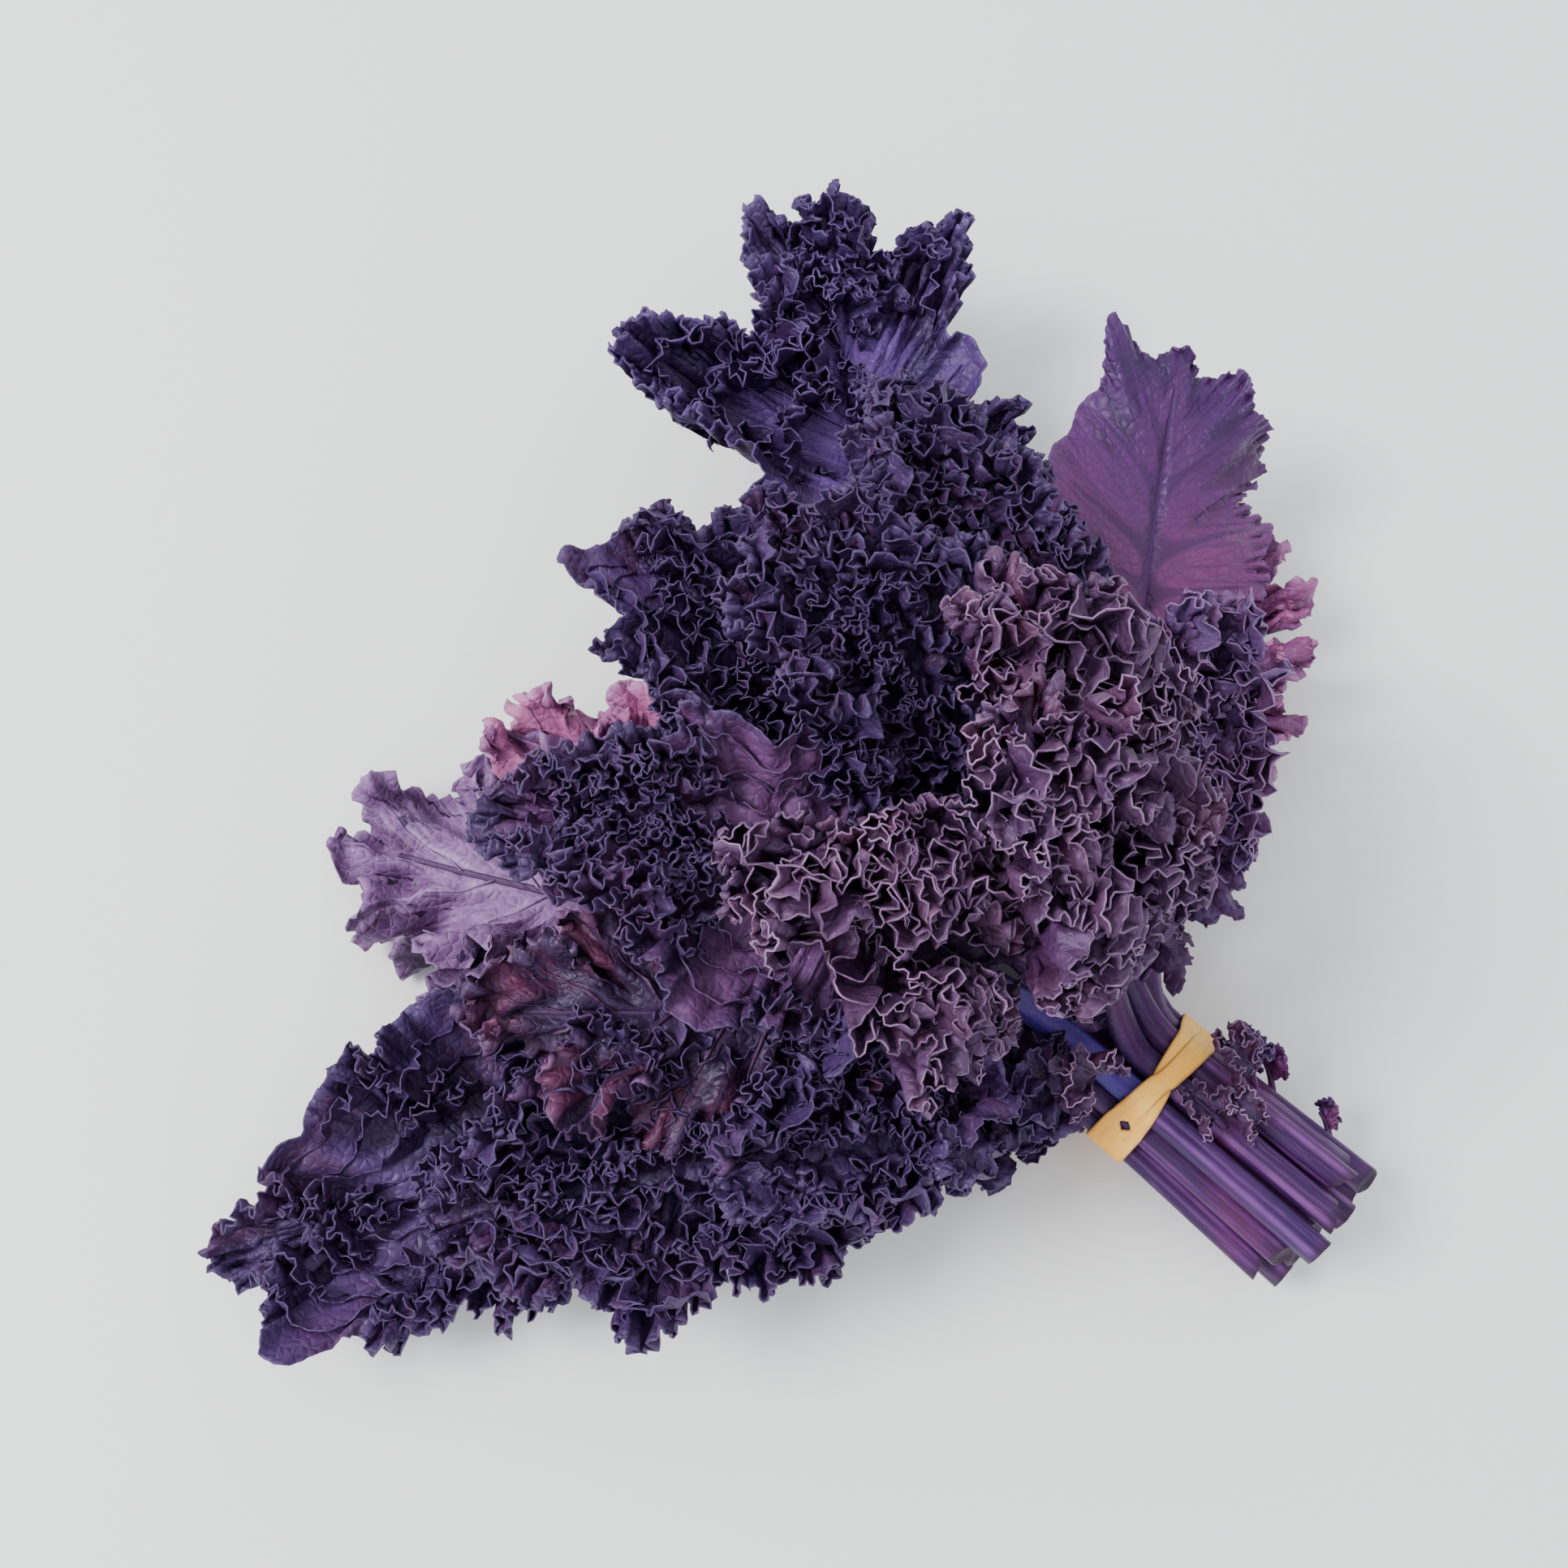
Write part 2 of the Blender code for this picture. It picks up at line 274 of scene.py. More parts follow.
def free_midrib(leaf):
    """The curve from the tied bundle to the leaf's tip: along +Y first, then out to its place."""
    x, z = bundle_slot(leaf.row, leaf.column)
    start = np.array([x, STRAIGHT, z])
    tip = slope_direction(leaf.heading, 0) * leaf.reach
    tip[2] = leaf.top
    span = np.linalg.norm(tip - start)
    onward = start + slope_direction(0, leaf.rise / 2) * LEAVING_SHARE * span
    outward = onward + slope_direction(leaf.heading, leaf.rise) * TURNING_SHARE * span
    last_way = slope_direction(leaf.heading + leaf.bend, leaf.droop)
    arrival = tip - last_way * TURNING_SHARE * span
    return bezier([start, onward, outward, arrival, tip], MIDRIB_POINTS)


def tail_points(leaf):
    """The stem beyond the band, which spreads a little from its neighbours, from its cut end in."""
    x, z = bundle_slot(leaf.row, leaf.column)
    length = TAIL_LENGTH + TAIL_UNEVENNESS * math.sin(TAIL_TURN * (leaf.number - 1))
    share = np.linspace(1, 0, 12)
    spread = 1 + TAIL_SPREAD * share
    y = -STRAIGHT - share * (length - STRAIGHT)
    return np.stack([x * spread, y, AXIS_HEIGHT + (z - AXIS_HEIGHT) * spread], axis=1)


def leaf_course(leaf):
    """A leaf's centre line, from its cut end to its tip."""
    points = np.concatenate([tail_points(leaf), free_midrib(leaf)])
    points[:, :2] += BAND_CENTRE[:2]
    return points


class Line:
    """A centre line that runs on past its end, with frames carried along it without twist."""

    def __init__(self, points, normal=UP, run_on=60 * MM):
        self.length = arc_lengths(points)[-1]
        onward = unit(points[-1] - points[-2]) * run_on
        points = np.concatenate([points, [points[-1] + onward]])
        self.points, self.reached = points, arc_lengths(points)
        self.tangents = unit(np.gradient(points, axis=0))
        normals = []
        for tangent in self.tangents:
            normal = unit(normal - normal.dot(tangent) * tangent)
            normals.append(normal)
        self.normals = np.array(normals)

    def at(self, distances):
        """Points, tangents, sides and normals at these distances along the line."""
        values = np.concatenate([self.points, self.tangents, self.normals], axis=1)
        points, tangents, normals = np.split(interpolated(distances, self.reached, values), 3, axis=-1)
        tangents, normals = unit(tangents), unit(normals)
        return points, tangents, np.cross(tangents, normals), normals


def meander_tables():
    """How far the sine-generated curve is ahead of an even walk, and its height, over one period."""
    phase = (np.arange(MEANDER_STEPS) + 0.5) / MEANDER_STEPS * 2 * np.pi
    walk = np.linspace(0, 1, MEANDER_STEPS + 1)
    ahead, height = [], []
    for opening in OPENINGS:
        angle = opening * np.sin(phase)
        chord = np.cos(angle).mean() * MEANDER_STEPS
        x = running_sum(np.cos(angle)) / chord
        z = running_sum(np.sin(angle)) / chord
        ahead.append(x - walk)
        height.append(z - z.mean())
    return np.array(ahead), np.array(height)


AHEAD, HEIGHT = meander_tables()


def meander(opening, turns):
    """How far a frill is ahead and up, in wavelengths, for its opening and its phase in turns."""
    opening, turns = np.broadcast_arrays(opening, turns)
    place = np.mod(turns, 1) * MEANDER_STEPS
    i = np.minimum(place.astype(int), MEANDER_STEPS - 1)
    along = place - i
    row = np.clip(opening / OPENINGS[1], 0, len(OPENINGS) - 1.001)
    j = row.astype(int)
    across = row - j
    found = []
    for table in (AHEAD, HEIGHT):
        low = table[j, i] * (1 - along) + table[j, i + 1] * along
        high = table[j + 1, i] * (1 - along) + table[j + 1, i + 1] * along
        found.append(low * (1 - across) + high * across)
    return found


def wander(s, length, rng, terms=4):
    """Smooth noise, mostly within -1 to 1, that changes over about this length of s."""
    total = 0
    for _ in range(terms):
        pace = 2 * np.pi / length * rng.uniform(0.5, 1.4)
        total = total + np.sin(s * pace + rng.uniform(0, 2 * np.pi))
    return total / math.sqrt(terms) * 0.9


def blur_columns(values, width):
    """Smooths along the columns with a raised-cosine window of this half width."""
    window = np.hanning(2 * width + 3)[1:-1]
    window /= window.sum()
    padded = np.concatenate([values[:1].repeat(width, 0), values, values[-1:].repeat(width, 0)])
    total = np.zeros_like(values)
    for i, weight in enumerate(window):
        total += weight * padded[i : i + len(values)]
    return total


def surface_frames(points, width=0):
    """Unit vectors round the leaf, outward and up from a grid of points, smoothed along columns."""
    around = unit(blur_columns(unit(np.gradient(points, axis=0)), width))
    outward = np.gradient(points, axis=1)
    normal = unit(blur_columns(unit(np.cross(around, outward)), width))
    return around, np.cross(normal, around), normal


def vein_shape(t, half):
    """The length of the side veins and their angle forward, at t along the midrib."""
    length = half * (0.4 + 0.6 * np.sin(np.pi * t**0.85) ** 0.8)
    length = length * (0.12 + 0.88 * smoothstep(t / 0.18))
    return length, np.radians(-5 + 95 * t**1.6)


def flat_outline(leaf, around, length, angle):
    """The margin's path in the flat leaf."""
    t = 1 - np.abs(around - 1)
    side = np.where(around <= 1, -1.0, 1.0)
    forward = t * leaf.blade + length * np.sin(angle)
    return np.stack([side * length * np.cos(angle), forward], axis=1)


def turns_along(margin, wavelength):
    """The phase in turns along a margin whose wavelength varies."""
    return running_sum(np.diff(margin) / ((wavelength[1:] + wavelength[:-1]) / 2))


def liveliness(leaf, around):
    """How much the blade may frill at these places round it."""
    lively = np.ones_like(around)
    for place, width, share in leaf.smooth_places:
        lively = lively * (1 - share * bell(around - place, width))
    return lively


def lobed(leaf, around, length, margin, rng):
    """The veins' lengths cut into lobes with narrow gaps between them, and the lobes' phase."""
    spacing = LOBE_SPACING * (1 + 0.35 * wander(margin, 70 * MM, rng))
    phase = turns_along(margin, spacing)
    gaps = (0.5 + 0.5 * np.cos(2 * np.pi * phase)) ** 3
    deep = leaf.lobes * np.clip(1 + 0.6 * wander(margin, 50 * MM, rng), 0.1, 1.5)
    uneven = 0.1 * liveliness(leaf, around) * wander(margin, 30 * MM, rng)
    length = length * (1 + uneven) * (1 - deep * gaps)
    for place, more, width in leaf.long_lobes:
        length = length + more * MM * bell(around - place, width)
    return length, phase


def puckers(x, y, rng, waves=12):
    """Uneven bumps, mostly within -1 to 1, at these places on the flat blade."""
    total = 0
    for _ in range(waves):
        turn, pace = rng.uniform(0, 2 * np.pi), 2 * np.pi / (rng.uniform(*PUCKER_LENGTHS) * MM)
        total = total + np.sin(pace * (x * math.cos(turn) + y * math.sin(turn)) + 7 * turn)
    return total / math.sqrt(waves)


def blade_grid(leaf, line, rng):
    """The blade before its frills, by column round the leaf and row out to its margin, and for each
    column the lobes' phase, how much it may frill and how far up the leaf it starts."""
    columns = leaf.columns
    dense = np.linspace(0, 2, OUTLINE_POINTS)
    full, angle = vein_shape(1 - np.abs(dense - 1), leaf.half * leaf.full)
    margin = arc_lengths(flat_outline(leaf, dense, full, angle))
    full, phase = lobed(leaf, dense, full, margin, rng)
    margin = arc_lengths(flat_outline(leaf, dense, full, angle))
    even = np.linspace(0, margin[-1], columns + 1)
    around = np.interp(even, margin, dense)
    length = np.interp(around, dense, full)
    t = 1 - np.abs(around - 1)
    side = np.where(around <= 1, -1.0, 1.0)
    _, angle = vein_shape(t, leaf.half)
    rows = ROWS[None, :]
    turn = math.radians(leaf.wing) + math.radians(leaf.cup) * smoothstep((rows - 0.2) / 0.8)
    turn = turn * (0.55 + 0.45 * np.sin(np.pi * t**0.8))[:, None]
    turn = turn + math.radians(18) * wander(even, 90 * MM, rng)[:, None] * rows
    steps = np.diff(ROWS)[None, :] * length[:, None]
    middle = (turn[:, 1:] + turn[:, :-1]) / 2
    out = running_sum(np.cos(middle) * steps)
    up = running_sum(np.sin(middle) * steps)
    sideways = side[:, None] * (out * np.cos(angle)[:, None] + MIDRIB_GAP)
    forward = (t * leaf.blade)[:, None] * leaf.long + out * np.sin(angle)[:, None]
    points, _, sides, normals = line.at(line.length - leaf.blade + leaf.late + forward)
    roll = math.radians(leaf.roll) * smoothstep(forward / (0.3 * leaf.blade))[..., None]
    rolled_side = sides * np.cos(roll) + normals * np.sin(roll)
    rolled_normal = normals * np.cos(roll) - sides * np.sin(roll)
    up = up + PUCKER_HEIGHT * (1.1 - leaf.bare) * puckers(sideways, forward, rng) * smoothstep(rows / 0.3)
    grid = points + rolled_side * sideways[..., None] + rolled_normal * up[..., None]
    return grid, np.stack([np.interp(around, dense, phase), liveliness(leaf, around), t], axis=1)


def evened(grid, facts):
    """The same blade with its columns spaced evenly along its margin."""
    margin = arc_lengths(grid[:, -1])
    even = np.linspace(0, margin[-1], len(grid))
    values = interpolated(even, margin, np.concatenate([grid.reshape(len(grid), -1), facts], axis=1))
    kinds = facts.shape[1]
    return values[:, :-kinds].reshape(grid.shape), values[:, -kinds:]


def frill(points, lively, wavelength, opening, start, spread, rng):
    """Folds the blade outside row share start into a meander that grows towards the margin, the
    sooner the smaller spread is."""
    margin = arc_lengths(points[:, -1])
    spacing = margin[-1] / (len(points) - 1)
    lengths = wavelength * (1 + 0.28 * wander(margin, wavelength * 3, rng))
    strength = lively * np.clip(1 + 0.3 * wander(margin, wavelength * 2.3, rng), *STRENGTHS)
    strength = strength * smoothstep(np.minimum(margin, margin[-1] - margin) / wavelength)
    growth = np.clip((ROWS - start) / (1 - start), 0, 1)[None, :] ** spread
    pace = 2 * np.pi * rng.uniform(0.9, 1.5)
    slant = 0.32 * np.sin(pace * ROWS + 3 * wander(margin, 3 * wavelength, rng)[:, None])
    turns = turns_along(margin, lengths)[:, None] + slant * (1 - ROWS**2)
    ahead, up = meander(opening * strength[:, None] * growth, turns)
    around, outward, normal = surface_frames(points, max(1, int(0.18 * wavelength / spacing)))
    moved = points + wavelength * (ahead[..., None] * around + up[..., None] * normal)
    inward = wavelength * (up**2 / 3.2 * growth + LEAN * up * (1 - ROWS) ** 0.5 * (wavelength > WIDE_FRILL))
    return moved - outward * inward[..., None]


def teeth(points, lively, rng):
    """Draws the margin out into uneven points."""
    margin = arc_lengths(points[:, -1])
    lengths = TOOTH_SPACING * (1 + 0.4 * wander(margin, TOOTH_SPACING * 3, rng))
    phase = np.mod(turns_along(margin, lengths), 1)
    peak = (1 - np.abs(2 * phase - 1)) ** 2 - 0.35
    height = TOOTH_HEIGHT * (0.6 + 0.4 * wander(margin, TOOTH_SPACING * 2, rng)) * lively
    _, outward, _ = surface_frames(points, 2)
    growth = np.clip((ROWS - 0.86) / 0.14, 0, 1)[None, :]
    return points + outward * (peak * height)[:, None, None] * growth[..., None]


def above_floor(points):
    """Lets points sink towards the floor but not through it."""
    lifted = points.copy()
    z = points[..., 2] - FLOOR_GAP
    lifted[..., 2] = FLOOR_GAP + (z + np.sqrt(z * z + FLOOR_SOFTNESS**2)) / 2
    return lifted


def place_object(name, data):
    made = bpy.data.objects.new(name, data)
    bpy.context.scene.collection.objects.link(made)
    return made


def ring_angles(count):
    return np.linspace(0, 2 * np.pi, count, endpoint=False)


# A leaf's two materials.
BLADE, STEM = 0, 1


class Skin:
    """Collects vertices with five attributes each, and faces by material, for one mesh."""

    ATTRIBUTES = ("lobe", "outward", "under", "smooth", "upward")

    def __init__(self):
        self.vertices, self.attributes, self.count = [], [], 0
        self.faces, self.materials = [], []

    def add(self, points, *attributes):
        """Adds points and returns their indices."""
        points = np.asarray(points)
        facts = np.zeros((len(points), len(self.ATTRIBUTES)))
        for column, attribute in enumerate(attributes):
            facts[:, column] = attribute
        self.vertices.append(points)
        self.attributes.append(facts)
        self.count += len(points)
        return np.arange(self.count - len(points), self.count)

    def face(self, *corners, flip=False, material=BLADE):
        """Adds a face for each place in these index arrays."""
        faces = np.stack(corners[::-1] if flip else corners, axis=1)
        self.faces.extend(faces.tolist())
        self.materials.extend([material] * len(faces))

    def strip(self, a, b, flip):
        """Adds the faces between two lines of points."""
        self.face(a[:-1], a[1:], b[1:], b[:-1], flip=flip)

    def join(self, ring, onward, material=BLADE):
        """Adds the faces from a ring to the next."""
        self.face(onward, np.roll(onward, -1), np.roll(ring, -1), ring, material=material)

    def cap(self, ring, material=BLADE, flip=False):
        """Adds one face over a whole ring."""
        corners = ring.tolist()
        self.faces.append(corners[::-1] if flip else corners)
        self.materials.append(material)

    def object(self, name, *materials):
        mesh = bpy.data.meshes.new(name)
        mesh.from_pydata(np.concatenate(self.vertices).tolist(), [], self.faces)
        facts = np.concatenate(self.attributes).astype(np.float32)
        for column, attribute in enumerate(self.ATTRIBUTES):
            layer = mesh.attributes.new(attribute, "FLOAT", "POINT")
            layer.data.foreach_set("value", np.ascontiguousarray(facts[:, column]))
        mesh.polygons.foreach_set("material_index", np.array(self.materials, dtype=np.int32))
        mesh.shade_smooth()
        for material in materials:
            mesh.materials.append(material)
        return place_object(name, mesh)


def add_shell(skin, points, facts, picked=range(len(ROWS)), inmost=0):
    """A closed thin shell over the picked rows of a blade's grid, with fewer columns nearer the
    midrib. The grid's inner side counts as this share of the way out."""
    columns = len(points) - 1
    _, _, normals = surface_frames(points)
    sheets = []
    for sign in (1, -1):
        sheet = []
        for j in picked:
            at = np.arange(0, columns + 1, STRIDES[j])
            offset = points[at, j] + sign * normals[at, j] * SKIN_THICKNESS / 2
            reached = inmost + (1 - inmost) * ROWS[j]
            phase, lively, upward = facts[at].T
            sheet.append(skin.add(offset, phase, reached, 0.5 - 0.5 * sign, 1 - lively, upward))
        sheets.append(sheet)
    for sheet, flip in zip(sheets, (False, True)):
        for a, b in zip(sheet, sheet[1:]):
            if len(a) == len(b):
                skin.strip(a, b, flip)
            else:
                skin.face(a[:-1], b[1:-1:2], b[:-2:2], flip=flip)
                skin.face(a[:-1], a[1:], b[1:-1:2], flip=flip)
                skin.face(a[1:], b[2::2], b[1:-1:2], flip=flip)
    top, bottom = sheets
    skin.strip(top[-1], bottom[-1], False)
    skin.strip(top[0], bottom[0], True)
    for end, flip in ((0, False), (-1, True)):
        skin.strip(*(np.array([row[end] for row in sheet]) for sheet in sheets), flip)


VEIN_ROWS = 8
VEIN_SIDES = 5
VEIN_RADII = 0.9 * MM, 0.3 * MM


def add_veins(skin, points, phase):
    """A thin rib on the blade's underside up the middle of each lobe."""
    frames = surface_frames(points)
    angle = ring_angles(VEIN_SIDES)[:, None]
    radii = np.linspace(*VEIN_RADII, VEIN_ROWS)
    for lobe in range(math.ceil(phase[0] - 0.5), math.floor(phase[-1] - 0.5)):
        column = int(np.searchsorted(phase, lobe + 0.5))
        rings = []
        for j in range(VEIN_ROWS):
            around, _, normal = (vectors[column, j] for vectors in frames)
            centre = points[column, j] - normal * radii[j] * 0.5
            ring = centre + (np.cos(angle) * around + np.sin(angle) * normal) * radii[j]
            rings.append(skin.add(ring, phase[column], ROWS[j], 1))
        for a, b in zip(rings, rings[1:]):
            skin.join(a, b)
        skin.cap(rings[0])
        skin.cap(rings[-1], flip=True)


STEM_SIDES = 26
RING_SPACING = 6.5 * MM
GROOVE_DEPTH = 0.22
GROOVE_WIDTH = 0.42
RIDGE_DEPTH = 0.08


def add_stem(skin, line, stop, radius_at, sink_at, rng, spacing=RING_SPACING):
    """A ridged and grooved stem along the line, cut off at its start and sunk below the line by
    sink_at. Its lobe attribute holds its streaks, outward its distance from the cut, and under
    marks the cut face."""
    distances = np.linspace(0, stop, max(6, int(stop / spacing)))
    centres, tangents, across, normals = line.at(distances)
    angle = ring_angles(STEM_SIDES)
    groove = 1 - GROOVE_DEPTH * bell(angle - np.pi / 2, GROOVE_WIDTH)
    turns = rng.uniform(0, 2 * np.pi, 4)
    slant = rng.uniform(-0.5, 0.5, 2)
    rings = []
    for i, distance in enumerate(distances):
        drift = distance * np.array([6, -9, 12, 4]) + turns
        ridges = np.cos(5 * angle + drift[0]) * 0.6 + np.cos(3 * angle + drift[1]) * 0.4
        streaks = np.cos(3 * angle + drift[2]) * 0.5 + np.cos(8 * angle + drift[3]) * 0.5
        radius = radius_at(distance) * groove * (1 + RIDGE_DEPTH * ridges)
        centre = centres[i] - normals[i] * sink_at(distance)
        points = centre + (np.cos(angle) * radius)[:, None] * across[i]
        points = points + (np.sin(angle) * radius)[:, None] * normals[i]
        if i == 0:
            lean = (np.cos(angle) * slant[0] + np.sin(angle) * slant[1]) * radius
            cut = points = points + lean[:, None] * tangents[0]
        rings.append(skin.add(points, 0.5 + 0.5 * streaks, distance, 0))
    for a, b in zip(rings, rings[1:]):
        skin.join(a, b, STEM)
    middle = cut.mean(axis=0)
    rim = skin.add(middle + (cut - middle) * 0.9 - tangents[0] * 0.15 * MM, 0.5, 0, 0.6)
    pith = skin.add(middle + (cut - middle) * 0.6 + tangents[0] * 0.4 * MM, 0.5, 0, 1)
    skin.join(rim, rings[0], STEM)
    skin.join(pith, rim, STEM)
    skin.cap(pith, STEM)
    skin.cap(rings[-1], STEM, flip=True)


def ruffled(grid, facts, orders, rng):
    """A blade's grid folded into each order of frill and drawn out into teeth, and its facts."""
    for order in orders:
        grid = frill(grid, facts[:, 1], *order, rng)
        grid, facts = evened(grid, facts)
    return above_floor(teeth(grid, facts[:, 1], rng)), facts


def between(values, columns, rows):
    """Values of a grid at these places between its columns and its rows."""
    i = np.clip(columns.astype(int), 0, values.shape[0] - 2)
    j = np.clip(rows.astype(int), 0, values.shape[1] - 2)
    across, out = (columns - i)[:, None], (rows - j)[:, None]
    near = values[i, j] * (1 - across) + values[i + 1, j] * across
    far = values[i, j + 1] * (1 - across) + values[i + 1, j + 1] * across
    return near * (1 - out) + far * out


def crest_grid(leaf, base, facts, share, side, rng):
    """A crest before its frills, and its facts. It stands on one side of the blade's grid at about
    this share of the way out, and leans outward the more the further out it stands."""
    _, first, last, height, count = leaf.crests
    first += leaf.bare_heart[0 if side < 0 else 1] * (1 - share)
    columns = len(base) - 1
    along = np.linspace(first, last, 4 * count) * columns / 2
    if side > 0:
        along = columns - along[::-1]
    shares = np.clip(share + CREST_SWAY * wander(along, columns / 9, rng), 0, 1)
    rows = np.interp(shares, ROWS, np.arange(len(ROWS)))
    _, outward, normal = surface_frames(base)
    if leaf.roll:
        normal = -normal
    lively = np.repeat(facts[:, None, 1:], len(ROWS), axis=1)
    values = between(np.concatenate([base, outward, normal, lively], axis=2), along, rows)
    reached = arc_lengths(values[:, :3])
    even = np.linspace(0, reached[-1], count + 1)
    values = interpolated(even, reached, values)
    feet, outs, ups = values[:, None, :3], values[:, None, 3:6], values[:, None, 6:9]
    lively, t = values[:, 9:].T
    ends = smoothstep(np.minimum(even, even[-1] - even) / CREST_END)
    tall = height * MM * (1.1 - 0.3 * share) * (0.3 + 0.7 * ends) * (1 + 0.25 * wander(even, 24 * MM, rng))
    tall = (tall * (0.05 + 0.95 * lively))[:, None, None]
    rows = ROWS[None, :, None]
    rise = tall * rows - CREST_FOOT * (1 - rows)
    lean = rise * min(0.1 + 0.5 * share, 2.2 * share - 0.4) + tall * 0.25 * rows**2
    grid = feet + ups * rise + outs * lean
    return grid, np.stack([even / LOBE_SPACING, lively, t], axis=1)


def add_crests(skin, leaf, base, facts, rng):
    orders = (leaf.fold * 0.95, 1.45, 0, 0.45), (leaf.curl, 1.45, 0.1, 0.6)
    if leaf.curl >= FINEST_CURL:
        orders += ((leaf.curl * 0.5, 0.9, 0.4, 0.65),)
    for share in leaf.crests[0]:
        for side in (-1, 1):
            grid, crest_facts = ruffled(*crest_grid(leaf, base, facts, share, side, rng), orders, rng)
            add_shell(skin, grid, crest_facts, CREST_ROWS, 0.4)


# Small leaves on the stems near the band. For each stem's leaf: their distance from its cut end,
# their turn round the stem from its top towards its right, and their length, in mm and degrees.
LEAFLETS = {
    1: ((86, -30, 28), (104, -60, 28)),
    4: ((78, -40, 26), (92, -80, 26)),
    8: ((84, -70, 26), (100, -50, 28)),
    10: ((92, -60, 26),),
    12: ((34, 70, 13), (14, 85, 9)),
    13: ((76, -60, 24), (86, 0, 26), (96, 30, 28), (106, -30, 28)),
    14: ((82, -10, 24), (98, 20, 26)),
    16: ((30, 55, 16), (90, 70, 26)),
    17: ((78, -30, 24),),
    18: ((36, -10, 16), (27, 20, 14)),
    19: ((33, 25, 17), (82, 40, 22)),
}
LEAFLET_CURL = 3.4 * MM
LEAFLET_BLADE = dict(
    wing=20, cup=70, roll=0, bare=0.3, lobes=0.3, long=0.9, full=1.3,
    columns=128, long_lobes=(), smooth_places=(), late=0,
)


def add_leaflet(skin, stem, distance, turn, length, rng):
    """A small frilled leaf on a short stalk, growing out of the stem and up along it."""
    (centre,), (tangent,), (side,), (normal,) = stem.at(np.array([distance]))
    turn = math.radians(turn)
    out = side * math.sin(turn) + normal * math.cos(turn)
    root = centre + out * STEM_RADIUS * 0.6
    points = [
        root,
        root + out * 0.25 * length + tangent * 0.2 * length,
        root + out * 0.55 * length + tangent * 0.5 * length,
        root + out * 0.6 * length + tangent * length,
    ]
    line = Line(bezier(points, 24), normal=out, run_on=length)
    half = 0.42 * length
    leaf = SimpleNamespace(blade=0.8 * length, half=half, **LEAFLET_BLADE)
    orders = (half, 1.4, 0.1, 0.65), (LEAFLET_CURL, 1.3, 0.4, 0.65)
    grid, facts = ruffled(*blade_grid(leaf, line, rng), orders, rng)
    add_shell(skin, grid, facts)

    def radius_at(along):
        return (1.3 - 0.9 * along / line.length) * MM

    def sink_at(along):
        return 0.6 * radius_at(along)

    add_stem(skin, line, line.length * 0.9, radius_at, sink_at, rng, spacing=4 * MM)


FIRST_SEED = 99


def leaf_piece(leaf, blade_material, stem_material):
    line = Line(leaf_course(leaf))
    rng = np.random.default_rng(FIRST_SEED + leaf.number)
    bare = leaf.bare
    orders = (
        (leaf.fold, 1.5 * leaf.frill, 0.05 + 0.4 * max(bare - 0.35, 0), 0.4 + 0.4 * bare),
        (leaf.curl, 1.5, bare, 0.65),
    )
    if leaf.curl >= FINEST_CURL:
        orders += ((leaf.curl * 0.5, 1.15, 0.4 + 0.6 * bare, 0.65),)
    flat_grid, flat_facts = blade_grid(leaf, line, rng)
    grid, facts = ruffled(flat_grid, flat_facts, orders, rng)
    skin = Skin()
    add_shell(skin, grid, facts)
    if leaf.tint in VEINED:
        add_veins(skin, grid, facts[:, 0])
    if leaf.crests:
        add_crests(skin, leaf, flat_grid, flat_facts, rng)
    taper = 0.25 if leaf.roll else 0.42
    sunk = -0.25 if leaf.tint == RIBBED else 0.75

    def up_blade(distance):
        return min(max((distance - line.length + leaf.blade) / leaf.blade, 0), 1)

    def radius_at(distance):
        return STEM_RADIUS + (RIB_TIP_RADIUS - STEM_RADIUS) * up_blade(distance) ** taper

    def sink_at(distance):
        return sunk * radius_at(distance) * smoothstep(4 * up_blade(distance))

    add_stem(skin, line, line.length * 0.97, radius_at, sink_at, rng)
    for distance, turn, length in leaf.leaflets:
        add_leaflet(skin, line, distance * MM, turn, length * MM, rng)
    name = "leaf_%02d" % leaf.number
    piece = skin.object(name + "_frilled", blade_material, stem_material)
    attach(piece, "root")
    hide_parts(name)


# The rubber band: a flat strip wound twice round the bundle. It lies side by side at the ends of
# its sway, and crosses over itself once, on top.
STRIP_WIDTH = 6.7 * MM
STRIP_THICKNESS = 1 * MM
STRIP_SWAY = 3.5 * MM
STRIP_RINGS = 300
STRIP_SIDES = 16
BAND_GAP = 0.35 * MM
BAND_CORNERS = (0, 4), (2, 2), (2, 0), (0, 0), (-2, 0), (-2, 2)
BAND_CORNER_STEPS = 6
CROSSING_TURN = 0.29
PARTING_TURN = 0.13
PARTING = 0.85
ALONG_STEMS = np.array([0.0, 1.0, 0.0])


def band_outline(clearance):
    """The taut line round the bundle at this clearance from its outer stems, closed, as points."""
    reach = STEM_RADIUS + clearance
    outline = []
    for corner, (x, z) in enumerate(bundle_slot(*slot) for slot in BAND_CORNERS):
        for step in range(BAND_CORNER_STEPS + 1):
            angle = math.radians(60 * (corner - 0.5 + step / BAND_CORNER_STEPS))
            outline.append((x + reach * math.cos(angle), 0, z + reach * math.sin(angle)))
    return np.array(outline + outline[:1]) + BAND_CENTRE * (1, 1, 0)


def twice_round(turns):
    """The strip's centre before its sway, and its direction out from the bundle, at these turns."""
    outline = band_outline(BAND_GAP + STRIP_THICKNESS / 2)
    reached = arc_lengths(outline)
    centres = interpolated(np.mod(turns, 1) * reached[-1], reached, outline)
    centres = (np.roll(centres, 1, 0) + 2 * centres + np.roll(centres, -1, 0)) / 4
    outs = np.cross(ALONG_STEMS, unit(np.roll(centres, -1, 0) - np.roll(centres, 1, 0)))
    outs *= np.sign(np.einsum("ij,ij->i", outs, centres - BAND_CENTRE))[:, None]
    return centres, outs


